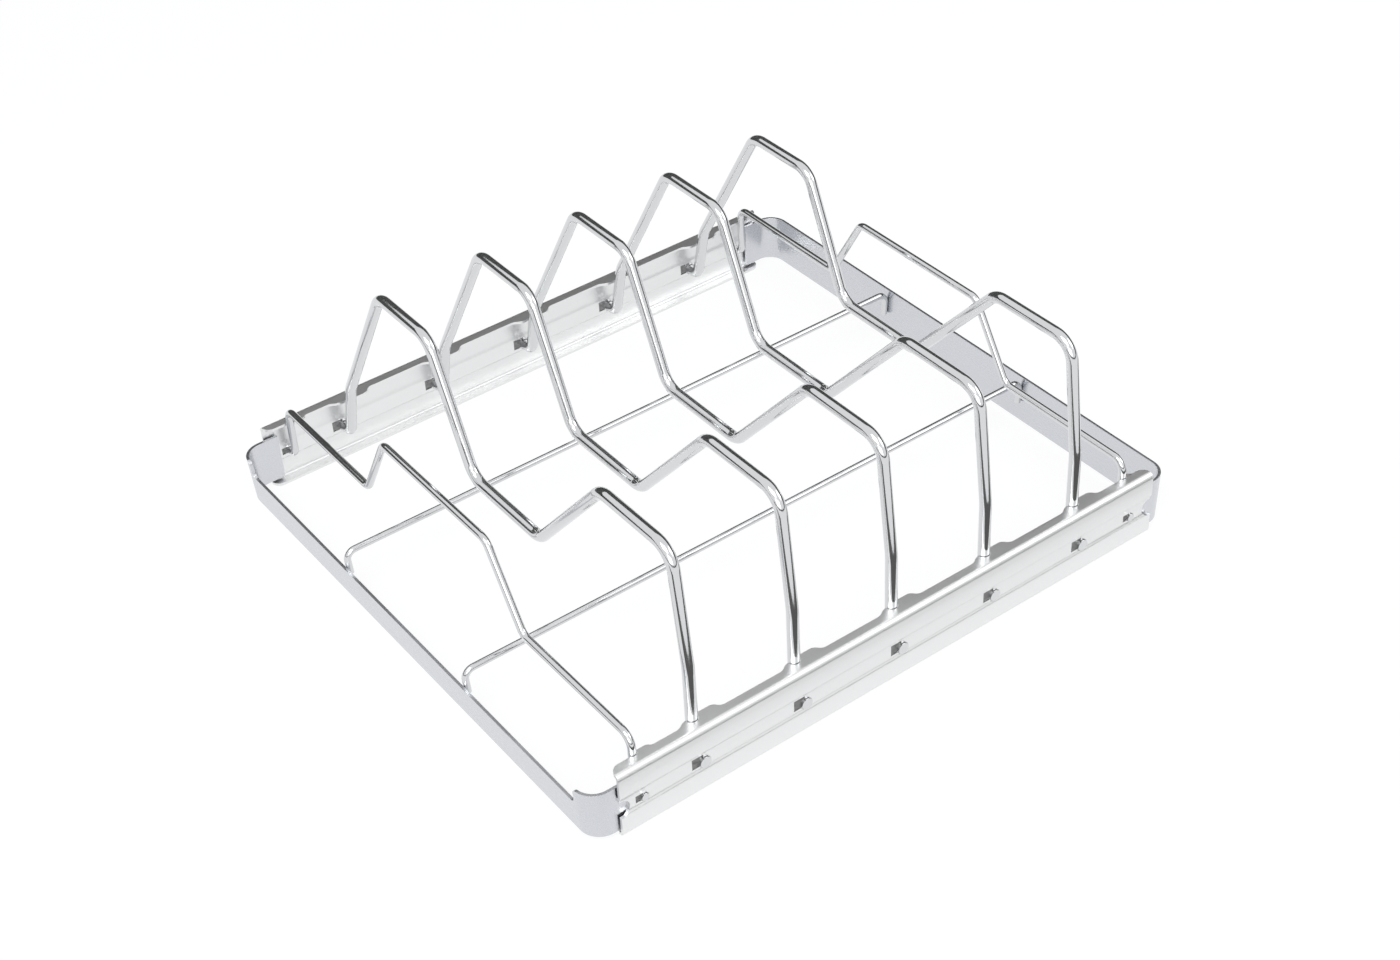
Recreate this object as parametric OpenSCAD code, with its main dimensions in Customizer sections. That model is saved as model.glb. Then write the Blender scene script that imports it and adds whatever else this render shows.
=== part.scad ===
// Rib rack: two folded side rails, two end strips, five tall bent ribs, two low end ribs and two cross wires.
// Millimetres. X runs along the rails, Y from the front rail to the rear one, Z up from the resting face.

/* [Overall] */
// Length over the end strips
rack_l = 354; // [300:1:420]
// Width over the rails' outer faces
rack_w = 325; // [300:1:400]

/* [Rails] */
// Height of a rail
rail_h = 37.5; // [32:0.5:45]
// Distance from a rail's end to the face of the end strip
rail_in = 15; // [12:0.5:20]
// Sheet thickness of the rails
rail_t = 1.5; // [1:0.1:2]
// Outer radius of a rail's folds
fold_r = 3; // [2.5:0.1:4]
// Width of the top flange between its humps
lip_w = 7; // [6:0.1:9]
// Width of the bottom flange
foot_w = 7; // [5:0.1:9]
// Corner radius at the ends of the flanges
lip_corner = 5; // [2:0.5:6]
// How far the stiffening band is pressed in
band_in = 1; // [0.5:0.1:1.5]
// Height of the band's middle above the resting face
band_z = 18.25; // [16:0.25:20]
// Height of the band's flat part
band_h = 8.5; // [8:0.25:10]
// Height of each sloping side of the band
band_slope = 1.5; // [1:0.1:2]
// Radius of the half-round notch in each end of a web
end_notch_r = 4.6; // [3:0.1:5]
// Depth of that notch
end_notch_d = 5.5; // [4:0.1:6]

/* [Humps of the top flange] */
// Height of the hump right of a tall rib
hump_out = 3.5; // [2:0.1:4]
// Length of that hump's flat crest
hump_flat = 6.5; // [4:0.1:8]
// Length of the crest's run-out
hump_fall = 7; // [6:0.1:9]
// Height of the rise left of a tall rib
rise_out = 2.4; // [1:0.1:3]
// Length of that rise
rise_run = 7; // [5:0.1:9]
// Height of the hump beside an end rib
end_hump_out = 1.8; // [1:0.1:3]
// Length of that hump's crest and of its run-out
end_hump_run = 4.2; // [3:0.1:5]

/* [Windows in the webs] */
// Height of the wires' feet above the resting face
foot_z = 16.5; // [15:0.25:18]
// Width of a tall rib's window
window_w = 6.3; // [5:0.1:9]
// Height of a tall rib's window
window_h = 6.2; // [5:0.1:8]
// Bottom of that window below the foot's axis
window_drop = 1.2; // [1:0.1:3]
// Distance from the foot's axis to the window's near edge
window_off = 0.9; // [0.5:0.1:2]
// Width and height of an end rib's window
end_window = 4; // [3:0.1:6]
// Clearance round a wire in its hole and its notch
wire_gap = 0.3; // [0.2:0.05:0.6]
// How far a wire's end stands out of the band
proud = 0.8; // [0.3:0.1:1]

/* [Tall ribs] */
// Wire diameter
rib_d = 6; // [5:0.1:7]
// Height of the ribs' axis above the rails at the front crest
front_rise = 92; // [70:1:120]
// Height of the ribs' axis above the rails at the rear crest
rear_rise = 96; // [70:1:120]
// Height of the ribs' axis above the rails in the valley
valley_rise = 28.5; // [18:1:40]
// Distance from a rail's outer face to a leg's axis
leg_in = 9.5; // [9:0.1:12]
// Height above the rails where the front leg starts to lean
lean_rise = 30; // [15:1:40]
// Place of the front crest's outer corner across the rack
crest_a = -146; // [-150:0.5:-144]
// Place of the front crest's inner corner
crest_b = -94.5; // [-105:0.5:-85]
// Place of the valley's front corner
valley_a = -37.5; // [-45:0.5:-30]
// Place of the valley's rear corner
valley_b = 20; // [15:0.5:30]
// Place of the rear crest's inner corner
crest_c = 48.5; // [40:0.5:55]
// Place of the rear crest's outer corner
crest_d = 93.5; // [85:0.5:98]
// Place of the rear slope's lower corner
knee_y = 145; // [140:0.5:148]
// Height of that corner above the rails
knee_rise = 11.5; // [8:0.5:20]
// Inner radius of the bends at the crests
crest_r = 9; // [5:0.5:14]
// Inner radius of the bends at the valley
valley_r = 9; // [5:0.5:14]
// Inner radius of the bends at the feet
foot_r = 3; // [2:0.5:5]
// Radius of the leg's slight bends
lean_r = 60; // [30:1:90]
// Radius of the knee's bend
knee_r = 25; // [15:1:40]

/* [End ribs] */
// Wire diameter
end_d = 4; // [3:0.1:5]
// Distance from an end rib to the face of the end strip
end_in = 28.5; // [26:0.5:32]
// Distance from an end rib to the next tall rib
end_gap = 33; // [25:0.5:40]
// Distance from a rail's outer face to an end rib's leg
end_leg_in = 8.5; // [8:0.1:10]
// Height of the low runs above the rails
low_rise = 9.5; // [7:0.5:14]
// Height of the crest above the rails
end_rise = 50.5; // [35:0.5:60]
// Half length of the crest
end_crest = 45.5; // [38:0.5:52]
// Half distance between the low runs
end_low = 70; // [64:0.5:80]
// Inner radius of its bends
end_r = 4.5; // [3:0.5:9]

/* [End strips] */
// Sheet thickness of the end strips
strip_t = 1.5; // [1:0.1:2]
// Height of the strips' top edge below the rails' top
strip_top_drop = 8; // [6:0.1:10]
// Height of the strips' lower edge
strip_bottom = 3; // [2:0.1:5]
// How far the lower edge leans in
strip_lean = 1.5; // [0.5:0.1:3]
// Outer radius of a strip's corners
strip_r = 11; // [8:0.5:14]
// Depth cut off the top of the left strip between its corners
side_cut = 9.5; // [6:0.5:12]
// Distance from the strip's outer side face to that cut
side_in = 12; // [11.5:0.5:16]
// Corner radius at the ends of that cut
side_r = 3; // [1:0.5:4]
// Distance from the window beside an end rib to the strip's end
return_gap = 1.5; // [0.5:0.1:3]

/* [Cross wires] */
// Wire diameter
cross_d = 3.5; // [2.5:0.1:4]
// Distance of a cross wire from the middle of the rack
cross_y = 54.5; // [40:1:70]
// Depth of its axis below the rails' top
cross_drop = 9.5; // [8:0.5:12]
// Height of the end of its leg
cross_foot = 15; // [12:0.5:17]
// Inner radius of its bends
cross_r = 3; // [2:0.5:4]
// Distance between its legs and the strips they are welded to
cross_gap = 0.2; // [0.1:0.05:0.3]

/* [Hidden] */
$fn = 40;
EPS = 0.01;
CUT = 20;
LAP = 0.05;
SEAM = 0.01;

RIBS = [-2, -1, 0, 1, 2];
half_w = rack_w / 2;
half_l = rack_l / 2;
rail_l = rack_l - 2 * rail_in;
end_x = half_l - end_in;
rib_pitch = 2 * (end_x - end_gap) / (len(RIBS) - 1);
web_y = half_w - band_in;
back_y = web_y - rail_t;
lip_max = lip_w + max(hump_out, rise_out);
hole_r = rib_d / 2 + wire_gap;
end_hole_r = end_d / 2 + wire_gap;
end_y = web_y + proud;
leg_y = half_w - leg_in;
end_leg_y = half_w - end_leg_in;
foot_bend = foot_r + rib_d / 2;
end_foot_bend = foot_r + end_d / 2;

// The rear leg leans in a straight line from the knee to its foot
rear_notch_y = knee_y + (leg_y - knee_y) * (knee_rise + rail_t / 2) / (rail_h + knee_rise - foot_z);

STEEL = [0.82, 0.83, 0.85];
SHEET = [0.72, 0.73, 0.75];

function unit(v) = v / norm(v);
function turn(a, b, c) = acos(unit(b - a) * unit(c - b));
function side(a, b, c) = (b - a)[0] * (c - b)[1] - (b - a)[1] * (c - b)[0] > 0 ? 1 : -1;
function trim(p, r, i) = r[i] > 0 ? r[i] * tan(turn(p[i - 1], p[i], p[i + 1]) / 2) : 0;

// Round wire along the corners p, each rounded by its radius in r
module bent_wire(p, r, d) {
  heading = p[1] - p[0];
  translate([p[0][0], p[0][1], 0]) rotate([0, 0, atan2(heading[1], heading[0])]) wire_from(p, r, d, 0);
}

// The straight length after corner i, drawn along x from the origin, then its bend and all that follows it.
// It closes a little way over the bends on both sides, which are drawn thinner by SEAM.
module wire_from(p, r, d, i) {
  l = norm(p[i + 1] - p[i]) - trim(p, r, i) - trim(p, r, i + 1);
  before = i > 0 ? LAP : 0;
  after = i < len(p) - 2 ? LAP : 0;
  translate([-before, 0, 0]) rotate([0, 90, 0]) cylinder(d = d, h = l + before + after);
  if (i < len(p) - 2) translate([l, 0, 0]) mirror([0, side(p[i], p[i + 1], p[i + 2]) > 0 ? 0 : 1, 0]) {
    angle = turn(p[i], p[i + 1], p[i + 2]);
    bend = r[i + 1];
    translate([0, bend, 0]) rotate([0, 0, -90]) {
      rotate_extrude(angle = angle) translate([bend, 0]) circle(d = d - 2 * SEAM);
      rotate([0, 0, angle]) translate([bend, 0, 0]) rotate([0, 0, 90])
        mirror([0, side(p[i], p[i + 1], p[i + 2]) > 0 ? 0 : 1, 0]) wire_from(p, r, d, i + 1);
    }
  }
}

// Stands a drawing in the YZ plane at x
module across(x) {
  translate([x, 0, 0]) rotate([90, 0, 90]) children();
}

// A channel's section inset from its outer face at 0, open towards +x
module channel(inset, w) {
  r = fold_r - inset;
  translate([fold_r, inset]) square([w - fold_r, rail_h - 2 * inset]);
  translate([inset, fold_r]) square([w - inset, rail_h - 2 * fold_r]);
  for (z = [fold_r, rail_h - fold_r]) translate([fold_r, z]) circle(r);
}

// Section of a rail: a channel whose web has a band pressed in between two slopes
module rail_section() {
  lo = band_z - band_h / 2;
  hi = band_z + band_h / 2;
  shift = rail_t * tan(atan(band_in / band_slope) / 2);
  difference() {
    channel(0, lip_max);
    difference() {
      channel(rail_t, lip_max + CUT);
      polygon([[0, lo - band_slope - shift], [rail_t, lo - band_slope - shift], [rail_t + band_in, lo - shift],
               [rail_t + band_in, hi + shift], [rail_t, hi + band_slope + shift], [0, hi + band_slope + shift]]);
    }
    polygon([[-CUT, lo - band_slope], [0, lo - band_slope], [band_in, lo], [band_in, hi], [0, hi + band_slope],
             [-CUT, hi + band_slope]]);
  }
}

// Two equal arcs that carry an edge down by h over the length w
module run_out(h, w) {
  r = (w * w + h * h) / (4 * h);
  intersection() {
    square([w / 2 + EPS, h]);
    translate([0, h - r]) circle(r);
  }
  difference() {
    translate([w / 2, 0]) square([w / 2, h / 2]);
    translate([w, r]) circle(r);
  }
}

// A hump of the flange's edge from its wire towards +x
module hump(h, flat, fall) {
  translate([0, -EPS]) square([flat, h + EPS]);
  translate([flat, 0]) run_out(h, fall);
}

// Plan of a top flange, with the rail's outer face at 0 and the web outwards of it
module lip_plan(notch_y, end_notch_y) {
  difference() {
    union() {
      rounded_strip(lip_w);
      for (i = RIBS) translate([i * rib_pitch, lip_w]) {
        hump(hump_out, hole_r + hump_flat, hump_fall);
        mirror([1, 0]) hump(rise_out, hole_r, rise_run);
      }
      for (s = [-1, 1]) translate([s * end_x, lip_w]) hump(end_hump_out, end_hole_r + EPS, end_hump_run);
      translate([-end_x, lip_w]) hump(end_hump_out, end_hole_r + end_hump_run, end_hump_run);
    }
    for (i = RIBS) notch(i * rib_pitch, notch_y, hole_r);
    for (s = [-1, 1]) notch(s * end_x, end_notch_y, end_hole_r);
  }
}

// Plan of a flange with rounded corners at its free edge
module rounded_strip(w) {
  translate([-rail_l / 2, -EPS]) square([rail_l, w - lip_corner + EPS]);
  translate([lip_corner - rail_l / 2, 0]) square([rail_l - 2 * lip_corner, w]);
  for (s = [-1, 1]) translate([s * (rail_l / 2 - lip_corner), w - lip_corner]) circle(lip_corner);
}

// A slot open at the free edge that a wire stands in
module notch(x, y, r) {
  translate([x, half_w - y]) circle(r);
  translate([x - r, half_w - y]) square([2 * r, CUT]);
}

// The hole of a wire's foot and the window beside it
module window(x, r, w, h) {
  translate([x, foot_z]) circle(r);
  translate([x - window_off - w, foot_z - window_drop]) square([w, h]);
}

module web_cuts() {
  for (i = RIBS) window(i * rib_pitch, hole_r, window_w, window_h);
  for (s = [-1, 1]) window(s * end_x, end_hole_r, end_window, end_window);
  for (s = [-1, 1]) translate([s * (rail_l / 2 + end_notch_r - end_notch_d), foot_z]) {
    circle(end_notch_r);
    translate([s > 0 ? 0 : -CUT, -end_notch_r]) square([CUT, 2 * end_notch_r]);
  }
}

// A rail standing with its outer face at y = 0 and its flanges towards +y
module rail(notch_y) {
  difference() {
    rotate([90, 0, 90]) linear_extrude(rail_l, center = true) rail_section();
    translate([0, 0, rail_h - fold_r]) linear_extrude(CUT) difference() {
      translate([-rail_l, fold_r]) square([2 * rail_l, CUT]);
      lip_plan(notch_y, end_leg_y);
    }
    translate([0, 0, -EPS]) linear_extrude(fold_r) difference() {
      translate([-rail_l, fold_r]) square([2 * rail_l, CUT]);
      rounded_strip(foot_w);
    }
    translate([0, CUT / 4, 0]) rotate([90, 0, 0]) linear_extrude(CUT / 2) web_cuts();
  }
}

module front_rail() {
  color(SHEET) translate([0, -half_w, 0]) rail(leg_y);
}

module rear_rail() {
  color(SHEET) mirror([0, 1, 0]) translate([0, -half_w, 0]) rail(rear_notch_y);
}

// The end strip at +x: one leaning sheet whose ends turn in behind the webs
strip_top = rail_h - strip_top_drop;
slope = strip_lean / (strip_top - strip_bottom);
lean = atan(slope);
face_u = (half_l - strip_top * slope) * cos(lean);
return_x = end_x + window_off + end_window + return_gap;

module strip_plan() {
  difference() {
    strip_shape(0);
    strip_shape(strip_t);
  }
}

module strip_shape(inset) {
  y = back_y - inset;
  r = strip_r - inset;
  translate([0, -y]) square([face_u - strip_r, 2 * y]);
  translate([0, r - y]) square([face_u - inset, 2 * (y - r)]);
  for (s = [-1, 1]) translate([face_u - strip_r, s * (y - r)]) circle(r);
}

// Side view of the cut that lowers a strip between its corners
module side_cut_outline() {
  half = back_y - side_in;
  low = strip_top - side_cut;
  translate([-half, low + side_r]) square([2 * half, CUT]);
  translate([side_r - half, low]) square([2 * (half - side_r), CUT]);
  for (s = [-1, 1]) {
    translate([s * (half - side_r), low + side_r]) circle(side_r);
    translate([s * half, strip_top]) difference() {
      translate([s > 0 ? -EPS : -side_r, -side_r]) square([side_r + EPS, CUT]);
      translate([s * side_r, -side_r]) circle(side_r);
    }
  }
}

module end_strip(cut) {
  difference() {
    intersection() {
      rotate([0, lean, 0]) linear_extrude(rail_h + CUT) strip_plan();
      translate([return_x, -half_w, strip_bottom]) cube([half_l, rack_w, strip_top - strip_bottom]);
    }
    if (cut) across(return_x) linear_extrude(half_l) side_cut_outline();
  }
}

module right_end_strip() {
  color(SHEET) end_strip(false);
}

module left_end_strip() {
  color(SHEET) mirror([1, 0, 0]) end_strip(true);
}

// A tall rib from the front foot over both crests to the rear foot
module rib_wire(i) {
  front_z = rail_h + front_rise;
  rear_z = rail_h + rear_rise;
  valley_z = rail_h + valley_rise;
  tight = crest_r + rib_d / 2;
  low = valley_r + rib_d / 2;
  points = [[-end_y, foot_z], [-leg_y, foot_z], [-leg_y, rail_h + lean_rise], [crest_a, front_z], [crest_b, front_z],
            [valley_a, valley_z], [valley_b, valley_z], [crest_c, rear_z], [crest_d, rear_z],
            [knee_y, rail_h + knee_rise], [leg_y, foot_z], [end_y, foot_z]];
  radii = [0, foot_bend, lean_r, tight, tight, low, low, tight, tight, knee_r, foot_bend, 0];
  color(STEEL) across(i * rib_pitch) bent_wire(points, radii, rib_d);
}

module rib_wire_1() { rib_wire(RIBS[0]); }
module rib_wire_2() { rib_wire(RIBS[1]); }
module rib_wire_3() { rib_wire(RIBS[2]); }
module rib_wire_4() { rib_wire(RIBS[3]); }
module rib_wire_5() { rib_wire(RIBS[4]); }

module end_wire(x) {
  low_z = rail_h + low_rise;
  crest_z = rail_h + end_rise;
  r = end_r + end_d / 2;
  points = [[-end_y, foot_z], [-end_leg_y, foot_z], [-end_leg_y, low_z], [-end_low, low_z], [-end_crest, crest_z],
            [end_crest, crest_z], [end_low, low_z], [end_leg_y, low_z], [end_leg_y, foot_z], [end_y, foot_z]];
  radii = [0, end_foot_bend, r, r, r, r, r, r, end_foot_bend, 0];
  color(STEEL) across(x) bent_wire(points, radii, end_d);
}

module left_end_wire() { end_wire(-end_x); }
module right_end_wire() { end_wire(end_x); }

// A cross wire with both ends turned down along the strips' inner faces
module cross_wire(y) {
  z = rail_h - cross_drop;
  off = (cross_d / 2 + cross_gap + strip_t) / cos(lean);
  top_x = half_l - off + (z - strip_top) * slope;
  foot_x = half_l - off + (cross_foot - strip_top) * slope;
  r = cross_r + cross_d / 2;
  points = [[-foot_x, cross_foot], [-top_x, z], [top_x, z], [foot_x, cross_foot]];
  color(STEEL) translate([0, y, 0]) rotate([90, 0, 0]) bent_wire(points, [0, r, r, 0], cross_d);
}

module front_cross_wire() { cross_wire(-cross_y); }
module rear_cross_wire() { cross_wire(cross_y); }

front_rail();
rear_rail();
left_end_strip();
right_end_strip();
rib_wire_1();
rib_wire_2();
rib_wire_3();
rib_wire_4();
rib_wire_5();
left_end_wire();
right_end_wire();
front_cross_wire();
rear_cross_wire();
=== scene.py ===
import math

import bmesh
import bpy
from mathutils import Euler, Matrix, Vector, noise


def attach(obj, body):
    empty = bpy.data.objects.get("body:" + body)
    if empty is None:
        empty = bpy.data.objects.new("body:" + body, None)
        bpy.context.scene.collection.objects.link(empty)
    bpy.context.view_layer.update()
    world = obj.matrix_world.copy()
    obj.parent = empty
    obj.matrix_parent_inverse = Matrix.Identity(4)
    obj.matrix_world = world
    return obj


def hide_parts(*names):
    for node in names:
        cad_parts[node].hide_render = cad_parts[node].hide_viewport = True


bl_info = {
    "name": "Rib rack",
    "version": (1, 0, 0),
    "blender": (4, 5, 0),
    "location": "View3D > Sidebar > Rib rack",
    "description": "Dresses the rib rack: bright bent wires, satin rails and end strips, and a white studio",
    "category": "Object",
}

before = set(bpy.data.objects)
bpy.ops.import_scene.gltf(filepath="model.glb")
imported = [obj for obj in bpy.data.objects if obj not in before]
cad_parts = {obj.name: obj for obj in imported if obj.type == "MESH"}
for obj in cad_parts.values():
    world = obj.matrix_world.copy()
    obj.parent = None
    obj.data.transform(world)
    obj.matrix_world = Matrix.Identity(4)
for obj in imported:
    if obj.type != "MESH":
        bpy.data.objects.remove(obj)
RIBS = 5


# Sizes and colours that a user would change, in metres unless they say otherwise

class RackRibSizes(bpy.types.PropertyGroup):
    """The tall double-crested ribs, as the part's source places them"""
    diameter: bpy.props.FloatProperty(
        name="Wire diameter", description="Thickness of a tall rib",
        default=0.006, unit="LENGTH")
    pitch: bpy.props.FloatProperty(
        name="Pitch", description="Distance from one tall rib to the next",
        default=0.05775, unit="LENGTH")
    front_crest: bpy.props.FloatProperty(
        name="Front crest", description="Height of the wire's axis at the front crest",
        default=0.1295, unit="LENGTH")
    rear_crest: bpy.props.FloatProperty(
        name="Rear crest", description="Height of the wire's axis at the rear crest",
        default=0.1335, unit="LENGTH")
    valley: bpy.props.FloatProperty(
        name="Valley height", description="Height of the wire's axis in the valley",
        default=0.066, unit="LENGTH")
    lean_start: bpy.props.FloatProperty(
        name="Lean start", description="Height at which the front leg starts to lean",
        default=0.0675, unit="LENGTH")
    knee: bpy.props.FloatProperty(
        name="Knee height", description="Height of the bend low on the rear slope",
        default=0.049, unit="LENGTH")
    crest_bend: bpy.props.FloatProperty(
        name="Crest bend", description="Radius of the axis in the bends at the crests",
        default=0.012, unit="LENGTH")
    valley_bend: bpy.props.FloatProperty(
        name="Valley bend", description="Radius of the axis in the bends of the valley",
        default=0.012, unit="LENGTH")
    lean_bend: bpy.props.FloatProperty(
        name="Lean bend", description="Radius of the front leg's slight bend",
        default=0.060, unit="LENGTH")
    knee_bend: bpy.props.FloatProperty(
        name="Knee bend", description="Radius of the bend low on the rear slope",
        default=0.025, unit="LENGTH")


class RackEndRibSizes(bpy.types.PropertyGroup):
    """The low ribs near both ends"""
    diameter: bpy.props.FloatProperty(
        name="Wire diameter", description="Thickness of an end rib",
        default=0.004, unit="LENGTH")
    place: bpy.props.FloatProperty(
        name="Place", description="Distance from the middle of the rack",
        default=0.1485, unit="LENGTH")
    crest: bpy.props.FloatProperty(
        name="Crest height", description="Height of the wire's axis at the crest",
        default=0.088, unit="LENGTH")
    low: bpy.props.FloatProperty(
        name="Low run height", description="Height of the wire's axis on the low runs",
        default=0.047, unit="LENGTH")
    bend: bpy.props.FloatProperty(
        name="Bend", description="Radius of the axis in its bends",
        default=0.0065, unit="LENGTH")


class RackCrossSizes(bpy.types.PropertyGroup):
    """The two thin wires under the ribs"""
    diameter: bpy.props.FloatProperty(
        name="Wire diameter", description="Thickness of a cross wire",
        default=0.0035, unit="LENGTH")
    place: bpy.props.FloatProperty(
        name="Place", description="Distance from the middle of the rack",
        default=0.0545, unit="LENGTH")
    height: bpy.props.FloatProperty(
        name="Height", description="Height of the wire's axis",
        default=0.028, unit="LENGTH")
    bend: bpy.props.FloatProperty(
        name="Bend", description="Radius of the axis where its ends turn down",
        default=0.00475, unit="LENGTH")


class RackFinish(bpy.types.PropertyGroup):
    """Colours and finishes of the steel"""
    wire_colour: bpy.props.FloatVectorProperty(
        name="Wire colour", description="Colour of the bright drawn wire",
        default=(0.66, 0.67, 0.68), size=3, min=0, max=1, subtype="COLOR")
    wire_roughness: bpy.props.FloatProperty(
        name="Wire roughness", description="Roughness of the bright drawn wire",
        default=0.09, min=0, max=1, subtype="FACTOR")
    rail_colour: bpy.props.FloatVectorProperty(
        name="Rail colour", description="Colour of the folded sheet",
        default=(0.82, 0.825, 0.825), size=3, min=0, max=1, subtype="COLOR")
    rail_roughness: bpy.props.FloatProperty(
        name="Rail roughness", description="Roughness of the folded sheet",
        default=0.35, min=0, max=1, subtype="FACTOR")
    strip_colour: bpy.props.FloatVectorProperty(
        name="Strip colour", description="Colour of the end strips",
        default=(0.64, 0.652, 0.682), size=3, min=0, max=1, subtype="COLOR")
    strip_roughness: bpy.props.FloatProperty(
        name="Strip roughness", description="Roughness of the end strips",
        default=0.26, min=0, max=1, subtype="FACTOR")
    # Dark grey of the weld plugs: partly weld metal, partly painted shade inside the windows
    weld_and_shade_colour: bpy.props.FloatVectorProperty(
        name="Weld colour", description="Colour of the welds and their painted shade in the windows",
        default=(0.24, 0.24, 0.24), size=3, min=0, max=1, subtype="COLOR")
    edge: bpy.props.FloatProperty(
        name="Edge rounding", description="How far the sheared edges of the sheet are rounded",
        default=0.0002, unit="LENGTH")


class RackStage(bpy.types.PropertyGroup):
    """Floor, light and camera"""
    floor_colour: bpy.props.FloatVectorProperty(
        name="Floor colour", description="Colour of the floor",
        default=(0.90, 0.92, 0.96), size=3, min=0, max=1, subtype="COLOR")
    floor_share: bpy.props.FloatProperty(
        name="Floor glow share", description="Share of white that the eye and the metal see on the floor",
        default=0.85, min=0, max=1, subtype="FACTOR")
    floor_glow: bpy.props.FloatProperty(
        name="Floor glow", description="Strength of that white",
        default=1.03, min=0)
    key: bpy.props.FloatProperty(
        name="Key light", description="Power of the lamp above the rack's left, in watts",
        default=14.0, min=0)
    fill: bpy.props.FloatProperty(
        name="Fill light", description="Power of the lamp above the rack's right, in watts",
        default=6.0, min=0)
    front: bpy.props.FloatProperty(
        name="Front light", description="Power of the wide lamp behind the camera, in watts",
        default=11.0, min=0)
    dark_side: bpy.props.FloatVectorProperty(
        name="Dark side", description="Where the studio is dark, as a direction from the rack",
        default=(0.567, 0.824, 0.0), size=3, subtype="DIRECTION")
    air: bpy.props.FloatProperty(
        name="Air", description="Level of the plain light from all sides",
        default=0.66, min=0)
    card_rise: bpy.props.FloatProperty(
        name="Card rise", description="How high the round card stands, in degrees seen from the rack",
        default=20.0, min=0, max=80)
    card_rise_front: bpy.props.FloatProperty(
        name="Card rise in front", description="How high it stands on the camera's side, in degrees",
        default=5.0, min=0, max=80)
    card_rise_behind: bpy.props.FloatProperty(
        name="Card rise behind", description="How high it stands on the dark side, in degrees",
        default=50.0, min=0, max=80)
    card: bpy.props.FloatVectorProperty(
        name="Front card", description="Its left, right, near and far edge and its height, in metres",
        default=(-0.6, 0.5, -0.200, -0.280, 0.001), size=5)
    lens: bpy.props.FloatProperty(
        name="Lens", description="Focal length of the camera, in millimetres",
        default=58.53, unit="CAMERA")
    place: bpy.props.FloatVectorProperty(
        name="Camera place", description="Where the camera stands",
        default=(-0.5165, -0.7499, 0.7478), size=3, subtype="TRANSLATION")
    turn: bpy.props.FloatVectorProperty(
        name="Camera turn", description="How the camera is turned, in degrees",
        default=(52.308, 2.539, -36.934), size=3)
    shift: bpy.props.FloatVectorProperty(
        name="Camera shift", description="Shift of the lens across the picture",
        default=(-0.0047, -0.0312), size=2)


# Places along the wires, in metres, as the part's source gives them

LEG_Y = 0.153
END_LEG_Y = 0.154
FOOT_Y = 0.1623
FOOT_Z = 0.0165
FOOT_BEND = 0.006
END_FOOT_BEND = 0.005
CREST_FRONT = (-0.146, -0.0945)
VALLEY = (-0.0375, 0.02)
CREST_REAR = (0.0485, 0.0935)
KNEE_Y = 0.145
END_LOW = 0.07
END_CREST = 0.0455
BURR = 0.0003


# The end strips, whose sides lean in below their top edge, and the cross wires' ends behind them

STRIP_TOP = 0.0295
STRIP_X = 0.177
STRIP_SHEET = 0.0015
LEAN_IN = 0.0015
LEAN_OVER = 0.0265
STRIP_LEAN = LEAN_IN / LEAN_OVER
CROSS_FOOT = 0.015
CROSS_GAP = 0.0002


# The windows in the rails' webs, as width and height beside a wire's foot, and the dark weld plugs in them,
# whose dark grey is partly painted shade

WINDOW = (0.0063, 0.0062)
END_WINDOW = (0.004, 0.004)
WINDOW_OFF = 0.0009
WINDOW_DROP = 0.0012
WELD_Y = 0.16075
WELD_DEPTH = 0.0006
WELD_GAP = 0.0002
WELD_LUMP = 0.0007
WELD_LUMPS = 750
WELD_CUTS = 7


# How finely the wires are rounded, and how a mesh is merged, flattened, bevelled and shaded

BEND_STEPS = 12
WIRE_SIDES = 32
CROSS_SIDES = 24
MERGE = 1e-6
FLAT_WITHIN = math.radians(0.5)
BEVEL_FROM = math.radians(40)
BEVEL_STEPS = 2
SHEET_SHARP_FROM = math.radians(35)
SHARP_FROM = math.radians(50)
FLAT_FACE_WEIGHT = 100


# Grain of each steel, as its lines per metre along X, Y and Z and its depth

WIRE_GRAIN = ((900, 900, 900), 0.15)
RAIL_GRAIN = ((30, 2500, 2500), 0.25)
STRIP_GRAIN = ((2500, 30, 2500), 0.2)
WELD_GRAIN = ((700, 700, 700), 0.8)
WELD_ROUGHNESS = 0.42
ROUGHNESS_SPREAD = 0.25
GRAIN_DETAIL = 4.0
GRAIN_HEIGHT = 0.00005


# The studio, in metres: each lamp has its place, the point it shines on, and its width and height

FLOOR_SIZE = 20
FLOOR_ROUGHNESS = 0.9
WHITE = 1.0
CARD_COLOUR = (0.10, 0.10, 0.095)
CARD_RADIUS = 2.5
CARD_STEPS = 48
KEY_LAMP = ((-0.9, -0.7, 1.6), (0, 0, 0.03), (1.2, 0.8))
FILL_LAMP = ((1.2, -1.2, 1.4), (0, 0, 0.03), (1.0, 1.0))
FRONT_LAMP = ((-1.36, -1.98, 0.95), (0, 0, 0.05), (1.8, 1.2))
SENSOR_WIDTH = 36
CLIP = (0.01, 50)


# The round card's climb, in cosines of the angle from the dark side: where it starts and how long it is

CLIMB_START = -0.35
CLIMB_LENGTH = 0.5


# Materials

def principled(name):
    """A new material and its one shader"""
    made = bpy.data.materials.new(name)
    made.use_nodes = True
    nodes = made.node_tree.nodes
    nodes.clear()
    shader = nodes.new("ShaderNodeBsdfPrincipled")
    out = nodes.new("ShaderNodeOutputMaterial")
    made.node_tree.links.new(shader.outputs[0], out.inputs[0])
    return made, shader


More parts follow.
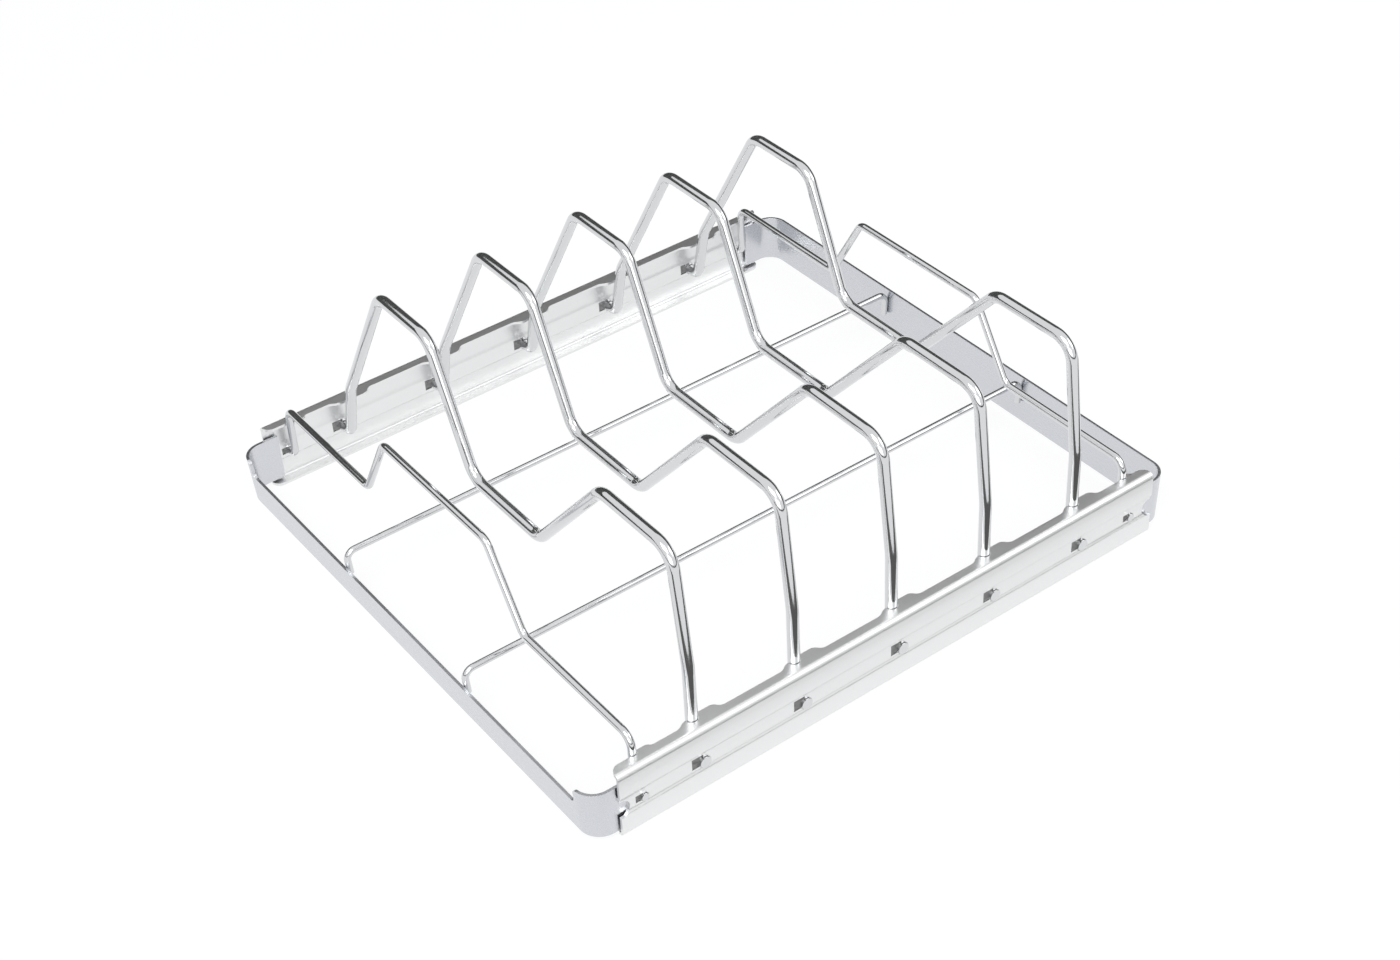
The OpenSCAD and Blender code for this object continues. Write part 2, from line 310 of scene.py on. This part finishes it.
def drawn_grain():
    """Fine lines of rolling or drawing: a varying roughness and a slight normal"""
    tree = bpy.data.node_groups.new("Drawn grain", "ShaderNodeTree")
    sockets = tree.interface
    sockets.new_socket("Stretch", in_out="INPUT", socket_type="NodeSocketVector")
    for name in ("Least roughness", "Most roughness", "Depth"):
        sockets.new_socket(name, in_out="INPUT", socket_type="NodeSocketFloat")
    sockets.new_socket("Roughness", in_out="OUTPUT", socket_type="NodeSocketFloat")
    sockets.new_socket("Normal", in_out="OUTPUT", socket_type="NodeSocketVector")
    nodes, links = tree.nodes, tree.links
    given, out = nodes.new("NodeGroupInput"), nodes.new("NodeGroupOutput")
    where = nodes.new("ShaderNodeTexCoord")
    scaled = nodes.new("ShaderNodeVectorMath")
    scaled.operation = "MULTIPLY"
    lines = nodes.new("ShaderNodeTexNoise")
    lines.inputs["Scale"].default_value = 1.0
    lines.inputs["Detail"].default_value = GRAIN_DETAIL
    spread = nodes.new("ShaderNodeMapRange")
    bump = nodes.new("ShaderNodeBump")
    bump.inputs["Distance"].default_value = GRAIN_HEIGHT
    links.new(where.outputs["Object"], scaled.inputs[0])
    links.new(given.outputs["Stretch"], scaled.inputs[1])
    links.new(scaled.outputs[0], lines.inputs["Vector"])
    links.new(lines.outputs["Fac"], spread.inputs["Value"])
    links.new(given.outputs["Least roughness"], spread.inputs["To Min"])
    links.new(given.outputs["Most roughness"], spread.inputs["To Max"])
    links.new(lines.outputs["Fac"], bump.inputs["Height"])
    links.new(given.outputs["Depth"], bump.inputs["Strength"])
    links.new(spread.outputs["Result"], out.inputs["Roughness"])
    links.new(bump.outputs["Normal"], out.inputs["Normal"])
    return tree


def steel(name, colour, roughness, grain):
    """A steel with its own colour and roughness, and the grain's stretch and depth"""
    made, shader = principled(name)
    nodes, links = made.node_tree.nodes, made.node_tree.links
    shader.inputs["Base Color"].default_value = (*colour, 1)
    shader.inputs["Metallic"].default_value = 1.0
    group = nodes.new("ShaderNodeGroup")
    group.node_tree = bpy.data.node_groups.get("Drawn grain") or drawn_grain()
    group.inputs["Stretch"].default_value, group.inputs["Depth"].default_value = grain
    group.inputs["Least roughness"].default_value = roughness * (1 - ROUGHNESS_SPREAD)
    group.inputs["Most roughness"].default_value = roughness * (1 + ROUGHNESS_SPREAD)
    links.new(group.outputs["Roughness"], shader.inputs["Roughness"])
    links.new(group.outputs["Normal"], shader.inputs["Normal"])
    return made


def material(name):
    """One of the rack's four steels, made when it is first asked for"""
    if name in bpy.data.materials:
        return bpy.data.materials[name]
    finish = bpy.context.scene.rack_finish
    steels = {
        "Bright wire": (finish.wire_colour, finish.wire_roughness, WIRE_GRAIN),
        "Rail sheet": (finish.rail_colour, finish.rail_roughness, RAIL_GRAIN),
        "Strip sheet": (finish.strip_colour, finish.strip_roughness, STRIP_GRAIN),
        # The weld plugs' dark grey is partly painted shade
        "Weld": (finish.weld_and_shade_colour, WELD_ROUGHNESS, WELD_GRAIN),
    }
    return steel(name, *steels[name])


# Wires

def wire_tree():
    """Geometry Nodes: rounds the corners of a bare path and lays round wire along it"""
    tree = bpy.data.node_groups.new("Bent wire", "GeometryNodeTree")
    sockets = tree.interface
    sockets.new_socket("Geometry", in_out="INPUT", socket_type="NodeSocketGeometry")
    sockets.new_socket("Diameter", in_out="INPUT", socket_type="NodeSocketFloat")
    sockets.new_socket("Sides", in_out="INPUT", socket_type="NodeSocketInt")
    sockets.new_socket("Steps", in_out="INPUT", socket_type="NodeSocketInt")
    sockets.new_socket("Steel", in_out="INPUT", socket_type="NodeSocketMaterial")
    sockets.new_socket("Geometry", in_out="OUTPUT", socket_type="NodeSocketGeometry")
    nodes, links = tree.nodes, tree.links
    given, out = nodes.new("NodeGroupInput"), nodes.new("NodeGroupOutput")
    path = nodes.new("GeometryNodeMeshToCurve")
    bend = nodes.new("GeometryNodeInputNamedAttribute")
    bend.data_type = "FLOAT"
    bend.inputs["Name"].default_value = "bend"
    thick = nodes.new("GeometryNodeInputNamedAttribute")
    thick.data_type = "FLOAT"
    thick.inputs["Name"].default_value = "thick"
    thinned = nodes.new("GeometryNodeSetCurveRadius")
    rounded = nodes.new("GeometryNodeFilletCurve")
    rounded.mode = "POLY"
    rounded.inputs["Limit Radius"].default_value = True
    half = nodes.new("ShaderNodeMath")
    half.operation = "MULTIPLY"
    half.inputs[1].default_value = 0.5
    ring = nodes.new("GeometryNodeCurvePrimitiveCircle")
    tube = nodes.new("GeometryNodeCurveToMesh")
    tube.inputs["Fill Caps"].default_value = True
    smooth = nodes.new("GeometryNodeSetShadeSmooth")
    real = nodes.new("GeometryNodeRealizeInstances")
    paint = nodes.new("GeometryNodeSetMaterial")
    links.new(given.outputs["Geometry"], path.inputs["Mesh"])
    links.new(path.outputs["Curve"], thinned.inputs["Curve"])
    links.new(thick.outputs["Attribute"], thinned.inputs["Radius"])
    links.new(thinned.outputs["Curve"], rounded.inputs["Curve"])
    links.new(bend.outputs["Attribute"], rounded.inputs["Radius"])
    links.new(given.outputs["Steps"], rounded.inputs["Count"])
    links.new(given.outputs["Diameter"], half.inputs[0])
    links.new(half.outputs[0], ring.inputs["Radius"])
    links.new(given.outputs["Sides"], ring.inputs["Resolution"])
    links.new(rounded.outputs["Curve"], tube.inputs["Curve"])
    links.new(ring.outputs["Curve"], tube.inputs["Profile Curve"])
    links.new(tube.outputs["Mesh"], smooth.inputs["Geometry"])
    links.new(smooth.outputs["Geometry"], real.inputs["Geometry"])
    links.new(real.outputs["Geometry"], paint.inputs["Geometry"])
    links.new(given.outputs["Steel"], paint.inputs["Material"])
    links.new(paint.outputs["Geometry"], out.inputs["Geometry"])
    return tree


def plain_mesh(made, name):
    """The evaluated shape of an object as a plain mesh object, in its place"""
    bpy.context.view_layer.update()
    shape = bpy.data.meshes.new_from_object(made.evaluated_get(bpy.context.evaluated_depsgraph_get()))
    bpy.data.objects.remove(made)
    shape.name = name
    piece = bpy.data.objects.new(name, shape)
    bpy.context.scene.collection.objects.link(piece)
    return piece


def bent_wire(name, node, corners, bends, diameter, sides=WIRE_SIDES):
    """Round wire along the corners, each inner one rounded by its bend, in place of a solid node"""
    corners = [Vector(corner) for corner in corners]
    first, last = corners[0], corners[-1]
    inner_first = first + (corners[1] - first).normalized() * BURR
    inner_last = last + (corners[-2] - last).normalized() * BURR
    points = [first, inner_first, *corners[1:-1], inner_last, last]
    path = bpy.data.meshes.new(name + " path")
    path.from_pydata(points, [(i, i + 1) for i in range(len(points) - 1)], [])
    bend = path.attributes.new("bend", "FLOAT", "POINT")
    bend.data.foreach_set("value", [0, 0, *bends, 0, 0])
    thick = path.attributes.new("thick", "FLOAT", "POINT")
    thin_end = 1 - 2 * BURR / diameter
    thick.data.foreach_set("value", [thin_end, *[1] * (len(points) - 2), thin_end])
    made = bpy.data.objects.new(name + " path", path)
    bpy.context.scene.collection.objects.link(made)
    laid = made.modifiers.new("Bent wire", "NODES")
    laid.node_group = bpy.data.node_groups.get("Bent wire") or wire_tree()
    given = {"Diameter": diameter, "Sides": sides, "Steps": BEND_STEPS, "Steel": material("Bright wire")}
    for item in laid.node_group.interface.items_tree:
        if item.in_out == "INPUT" and item.name in given:
            laid[item.identifier] = given[item.name]
    piece = plain_mesh(made, name)
    piece.data.set_sharp_from_angle(angle=SHARP_FROM)
    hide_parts(node)
    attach(piece, "root")


def rib_place(i, pitch):
    """Where a tall rib stands along X"""
    return (i - (RIBS - 1) / 2) * pitch


def across(x, profile):
    """The profile's Y and Z in the plane at x"""
    return [(x, y, z) for y, z in profile]


# Sheet

def worked_sheet(name, node, steel_name):
    """A folded sheet: the solid node's own shape with its sheared edges rounded a little"""
    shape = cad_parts[node].data.copy()
    shape.name = name
    edit = bmesh.new()
    edit.from_mesh(shape)
    bmesh.ops.remove_doubles(edit, verts=edit.verts, dist=MERGE)
    bmesh.ops.dissolve_limit(edit, angle_limit=FLAT_WITHIN, verts=edit.verts, edges=edit.edges)
    bmesh.ops.triangulate(edit, faces=edit.faces, quad_method="BEAUTY", ngon_method="BEAUTY")
    edit.to_mesh(shape)
    edit.free()
    made = bpy.data.objects.new(name + " blank", shape)
    bpy.context.scene.collection.objects.link(made)
    made.data.materials.clear()
    made.data.materials.append(material(steel_name))
    rounded = made.modifiers.new("Rounded edges", "BEVEL")
    rounded.width = bpy.context.scene.rack_finish.edge
    rounded.segments = BEVEL_STEPS
    rounded.limit_method = "ANGLE"
    rounded.angle_limit = BEVEL_FROM
    blank = plain_mesh(made, name + " bevelled")
    blank.data.shade_smooth()
    blank.data.set_sharp_from_angle(angle=SHEET_SHARP_FROM)
    flat = blank.modifiers.new("Flat faces", "WEIGHTED_NORMAL")
    flat.keep_sharp = True
    flat.weight = FLAT_FACE_WEIGHT
    piece = plain_mesh(blank, name)
    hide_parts(node)
    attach(piece, "root")


# Welds

def weld_and_shade_plugs(name, side):
    """Dark weld metal in each window of a rail's web, a little below the web's faces; its dark grey is
    partly painted shade for the channel's inside seen through the window
    """
    ribs, ends = bpy.context.scene.rack_ribs, bpy.context.scene.rack_end_ribs
    spots = [(rib_place(i, ribs.pitch), WINDOW) for i in range(RIBS)]
    spots += [(-ends.place, END_WINDOW), (ends.place, END_WINDOW)]
    edit = bmesh.new()
    for x, (wide, tall) in spots:
        middle = Vector((x - WINDOW_OFF - wide / 2, side * WELD_Y, FOOT_Z - WINDOW_DROP + tall / 2))
        size = Vector((wide - WELD_GAP, WELD_DEPTH, tall - WELD_GAP))
        for corner in bmesh.ops.create_cube(edit, size=1)["verts"]:
            corner.co = middle + corner.co * size
    bmesh.ops.subdivide_edges(edit, edges=edit.edges, cuts=WELD_CUTS, use_grid_fill=True)
    for point in edit.verts:
        point.co.y += WELD_LUMP * noise.noise(point.co * WELD_LUMPS)
    shape = bpy.data.meshes.new(name)
    edit.to_mesh(shape)
    edit.free()
    shape.shade_smooth()
    shape.set_sharp_from_angle(angle=SHARP_FROM)
    shape.materials.append(material("Weld"))
    piece = bpy.data.objects.new(name, shape)
    bpy.context.scene.collection.objects.link(piece)
    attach(piece, "root")


# Studio

def seen_by_eye_or_gloss(nodes, links):
    """1 for what the eye, a reflection or glass sees, and 0 for the light that falls on things"""
    rays = nodes.new("ShaderNodeLightPath")
    eye_or_gloss = nodes.new("ShaderNodeMath")
    eye_or_gloss.operation = "MAXIMUM"
    or_glass = nodes.new("ShaderNodeMath")
    or_glass.operation = "MAXIMUM"
    links.new(rays.outputs["Is Camera Ray"], eye_or_gloss.inputs[0])
    links.new(rays.outputs["Is Glossy Ray"], eye_or_gloss.inputs[1])
    links.new(eye_or_gloss.outputs[0], or_glass.inputs[0])
    links.new(rays.outputs["Is Transmission Ray"], or_glass.inputs[1])
    return or_glass.outputs[0]


def studio_floor(stage):
    """A white floor that keeps the rack's shadow"""
    bpy.ops.mesh.primitive_plane_add(size=FLOOR_SIZE, location=(0, 0, 0))
    floor = bpy.context.object
    floor.name = "studio_floor"
    made, shader = principled("Studio floor")
    nodes, links = made.node_tree.nodes, made.node_tree.links
    shader.inputs["Base Color"].default_value = (*stage.floor_colour, 1)
    shader.inputs["Roughness"].default_value = FLOOR_ROUGHNESS
    glow = nodes.new("ShaderNodeEmission")
    glow.inputs["Strength"].default_value = stage.floor_glow
    mix = nodes.new("ShaderNodeMixShader")
    share = nodes.new("ShaderNodeMath")
    share.operation = "MULTIPLY"
    share.inputs[1].default_value = stage.floor_share
    links.new(seen_by_eye_or_gloss(nodes, links), share.inputs[0])
    links.new(share.outputs[0], mix.inputs["Fac"])
    links.new(shader.outputs[0], mix.inputs[1])
    links.new(glow.outputs[0], mix.inputs[2])
    links.new(mix.outputs[0], nodes["Material Output"].inputs["Surface"])
    floor.data.materials.append(made)


def card_black():
    """The cards' dull black, made when it is first asked for"""
    if "Black card" in bpy.data.materials:
        return bpy.data.materials["Black card"]
    black, shader = principled("Black card")
    shader.inputs["Base Color"].default_value = (*CARD_COLOUR, 1)
    shader.inputs["Roughness"].default_value = 1.0
    return black


def black_card(name, points, faces):
    """A black studio card that only reflections show, as a photographer sets round bright metal"""
    shape = bpy.data.meshes.new(name)
    shape.from_pydata(points, [], faces)
    shape.materials.append(card_black())
    card = bpy.data.objects.new(name, shape)
    bpy.context.scene.collection.objects.link(card)
    card.visible_camera = card.visible_diffuse = card.visible_shadow = False


def front_card(stage):
    """The card that lies before the front rail, for the dark line on the front legs"""
    left, right, near, far, high = stage.card
    corners = [(left, near, high), (right, near, high), (right, far, high), (left, far, high)]
    black_card("front_card", corners, [(0, 1, 2, 3)])


def round_card(stage):
    """The card that stands round the rack: high on the dark side and low on the camera's side"""
    foot, top = [], []
    for i in range(CARD_STEPS):
        turn = 2 * math.pi * i / CARD_STEPS
        facing = math.cos(turn - math.atan2(stage.dark_side[1], stage.dark_side[0]))
        climb = min(1.0, max(0.0, (facing - CLIMB_START) / CLIMB_LENGTH))
        rise = stage.card_rise_front + (stage.card_rise - stage.card_rise_front) * climb
        rise += (stage.card_rise_behind - stage.card_rise) * max(0.0, facing)
        x, y = CARD_RADIUS * math.cos(turn), CARD_RADIUS * math.sin(turn)
        foot.append((x, y, 0.0))
        top.append((x, y, CARD_RADIUS * math.tan(math.radians(rise))))
    ring = [(i, (i + 1) % CARD_STEPS) for i in range(CARD_STEPS)]
    faces = [(i, after, CARD_STEPS + after, CARD_STEPS + i) for i, after in ring]
    black_card("round_card", foot + top, faces)


def studio_air(stage):
    """Plain light from all sides, which the eye and the metal see as white"""
    world = bpy.data.worlds.new("Studio air")
    bpy.context.scene.world = world
    world.use_nodes = True
    nodes, links = world.node_tree.nodes, world.node_tree.links
    back = nodes["Background"]
    level = nodes.new("ShaderNodeMapRange")
    level.inputs["To Min"].default_value = stage.air
    level.inputs["To Max"].default_value = WHITE
    links.new(seen_by_eye_or_gloss(nodes, links), level.inputs["Value"])
    links.new(level.outputs["Result"], back.inputs["Strength"])
    back.inputs["Color"].default_value = (1, 1, 1, 1)


def soft_lamp(name, power, place, aim, size):
    """A rectangular lamp that shines from its place on the point it aims at"""
    lamp = bpy.data.lights.new(name, "AREA")
    lamp.shape = "RECTANGLE"
    lamp.size, lamp.size_y = size
    lamp.energy = power
    made = bpy.data.objects.new(name, lamp)
    made.location = place
    made.rotation_euler = (Vector(aim) - Vector(place)).to_track_quat("-Z", "Y").to_euler()
    bpy.context.scene.collection.objects.link(made)


def photo_camera(stage):
    """The camera, fitted to the photograph's view of the rack"""
    lens = bpy.data.cameras.new("photo_camera")
    camera = bpy.data.objects.new("photo_camera", lens)
    bpy.context.scene.collection.objects.link(camera)
    lens.sensor_width = SENSOR_WIDTH
    lens.lens = stage.lens
    lens.clip_start, lens.clip_end = CLIP
    lens.shift_x, lens.shift_y = stage.shift
    camera.location = stage.place
    camera.rotation_euler = Euler([math.radians(angle) for angle in stage.turn])
    bpy.context.scene.camera = camera


# Operators

class RACK_OT_rails(bpy.types.Operator):
    """Make the front and rear rails from their solid nodes, with the sheared edges rounded"""
    bl_idname = "rack.rails"
    bl_label = "Rails"

    def execute(self, context):
        worked_sheet("front_channel", "front_rail", "Rail sheet")
        worked_sheet("rear_channel", "rear_rail", "Rail sheet")
        return {"FINISHED"}


class RACK_OT_strips(bpy.types.Operator):
    """Make the two end strips from their solid nodes, with the sheared edges rounded"""
    bl_idname = "rack.strips"
    bl_label = "End strips"

    def execute(self, context):
        worked_sheet("left_strip", "left_end_strip", "Strip sheet")
        worked_sheet("right_strip", "right_end_strip", "Strip sheet")
        return {"FINISHED"}


class RACK_OT_ribs(bpy.types.Operator):
    """Bend the five tall ribs over their two crests"""
    bl_idname = "rack.ribs"
    bl_label = "Tall ribs"

    def execute(self, context):
        rib = context.scene.rack_ribs
        profile = [
            (-FOOT_Y, FOOT_Z), (-LEG_Y, FOOT_Z), (-LEG_Y, rib.lean_start),
            (CREST_FRONT[0], rib.front_crest), (CREST_FRONT[1], rib.front_crest),
            (VALLEY[0], rib.valley), (VALLEY[1], rib.valley),
            (CREST_REAR[0], rib.rear_crest), (CREST_REAR[1], rib.rear_crest),
            (KNEE_Y, rib.knee), (LEG_Y, FOOT_Z), (FOOT_Y, FOOT_Z),
        ]
        bends = [
            FOOT_BEND, rib.lean_bend, rib.crest_bend, rib.crest_bend, rib.valley_bend,
            rib.valley_bend, rib.crest_bend, rib.crest_bend, rib.knee_bend, FOOT_BEND,
        ]
        for i in range(RIBS):
            corners = across(rib_place(i, rib.pitch), profile)
            bent_wire(f"tall_rib_{i + 1}", f"rib_wire_{i + 1}", corners, bends, rib.diameter)
        return {"FINISHED"}


class RACK_OT_end_ribs(bpy.types.Operator):
    """Bend the low rib near each end"""
    bl_idname = "rack.end_ribs"
    bl_label = "End ribs"

    def execute(self, context):
        rib = context.scene.rack_end_ribs
        half = [
            (-FOOT_Y, FOOT_Z), (-END_LEG_Y, FOOT_Z), (-END_LEG_Y, rib.low),
            (-END_LOW, rib.low), (-END_CREST, rib.crest),
        ]
        profile = half + [(-y, z) for y, z in reversed(half)]
        bends = [END_FOOT_BEND, *[rib.bend] * 6, END_FOOT_BEND]
        bent_wire("left_low_rib", "left_end_wire", across(-rib.place, profile), bends, rib.diameter)
        bent_wire("right_low_rib", "right_end_wire", across(rib.place, profile), bends, rib.diameter)
        return {"FINISHED"}


class RACK_OT_cross_wires(bpy.types.Operator):
    """Lay the two thin wires from strip to strip"""
    bl_idname = "rack.cross_wires"
    bl_label = "Cross wires"

    def execute(self, context):
        wire = context.scene.rack_cross
        off = (wire.diameter / 2 + CROSS_GAP + STRIP_SHEET) / math.cos(math.atan(STRIP_LEAN))
        top_x = STRIP_X - off + (wire.height - STRIP_TOP) * STRIP_LEAN
        foot_x = STRIP_X - off + (CROSS_FOOT - STRIP_TOP) * STRIP_LEAN
        bends = [wire.bend, wire.bend]
        for side, y in (("front", -wire.place), ("rear", wire.place)):
            corners = [
                (-foot_x, y, CROSS_FOOT), (-top_x, y, wire.height),
                (top_x, y, wire.height), (foot_x, y, CROSS_FOOT),
            ]
            bent_wire(f"{side}_thin_wire", f"{side}_cross_wire", corners, bends, wire.diameter, CROSS_SIDES)
        return {"FINISHED"}


class RACK_OT_welds_and_shade(bpy.types.Operator):
    """Fill the windows beside the wires' ends with dark weld metal, whose dark grey is partly painted shade
    """
    bl_idname = "rack.welds"
    bl_label = "Welds and shade"

    def execute(self, context):
        # Dark plugs in the windows: weld metal and painted shade
        weld_and_shade_plugs("front_welds_and_shade", -1)
        weld_and_shade_plugs("rear_welds_and_shade", 1)
        return {"FINISHED"}


class RACK_OT_stage(bpy.types.Operator):
    """Set the white floor, the soft light and the camera"""
    bl_idname = "rack.stage"
    bl_label = "Studio"

    def execute(self, context):
        stage = context.scene.rack_stage
        studio_floor(stage)
        front_card(stage)
        round_card(stage)
        studio_air(stage)
        soft_lamp("key_light", stage.key, *KEY_LAMP)
        soft_lamp("fill_light", stage.fill, *FILL_LAMP)
        soft_lamp("front_light", stage.front, *FRONT_LAMP)
        photo_camera(stage)
        context.scene.view_settings.view_transform = "Standard"
        return {"FINISHED"}


class RACK_PT_panel(bpy.types.Panel):
    """Steps that dress the rack, in order"""
    bl_idname = "RACK_PT_panel"
    bl_label = "Rib rack"
    bl_space_type = "VIEW_3D"
    bl_region_type = "UI"
    bl_category = "Rib rack"

    def draw(self, context):
        for step in STEPS:
            self.layout.operator(step.bl_idname)


GROUPS = {
    "rack_ribs": RackRibSizes,
    "rack_end_ribs": RackEndRibSizes,
    "rack_cross": RackCrossSizes,
    "rack_finish": RackFinish,
    "rack_stage": RackStage,
}
STEPS = [
    RACK_OT_rails,
    RACK_OT_strips,
    RACK_OT_ribs,
    RACK_OT_end_ribs,
    RACK_OT_cross_wires,
    RACK_OT_welds_and_shade,
    RACK_OT_stage,
]


def register():
    for name, group in GROUPS.items():
        bpy.utils.register_class(group)
        setattr(bpy.types.Scene, name, bpy.props.PointerProperty(type=group))
    for step in STEPS:
        bpy.utils.register_class(step)
    bpy.utils.register_class(RACK_PT_panel)


def unregister():
    bpy.utils.unregister_class(RACK_PT_panel)
    for step in reversed(STEPS):
        bpy.utils.unregister_class(step)
    for name, group in reversed(list(GROUPS.items())):
        delattr(bpy.types.Scene, name)
        bpy.utils.unregister_class(group)


def main():
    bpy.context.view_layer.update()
    register()
    bpy.ops.rack.rails()
    bpy.ops.rack.strips()
    bpy.ops.rack.ribs()
    bpy.ops.rack.end_ribs()
    bpy.ops.rack.cross_wires()
    bpy.ops.rack.welds()
    bpy.ops.rack.stage()


if __name__ == "__main__":
    main()
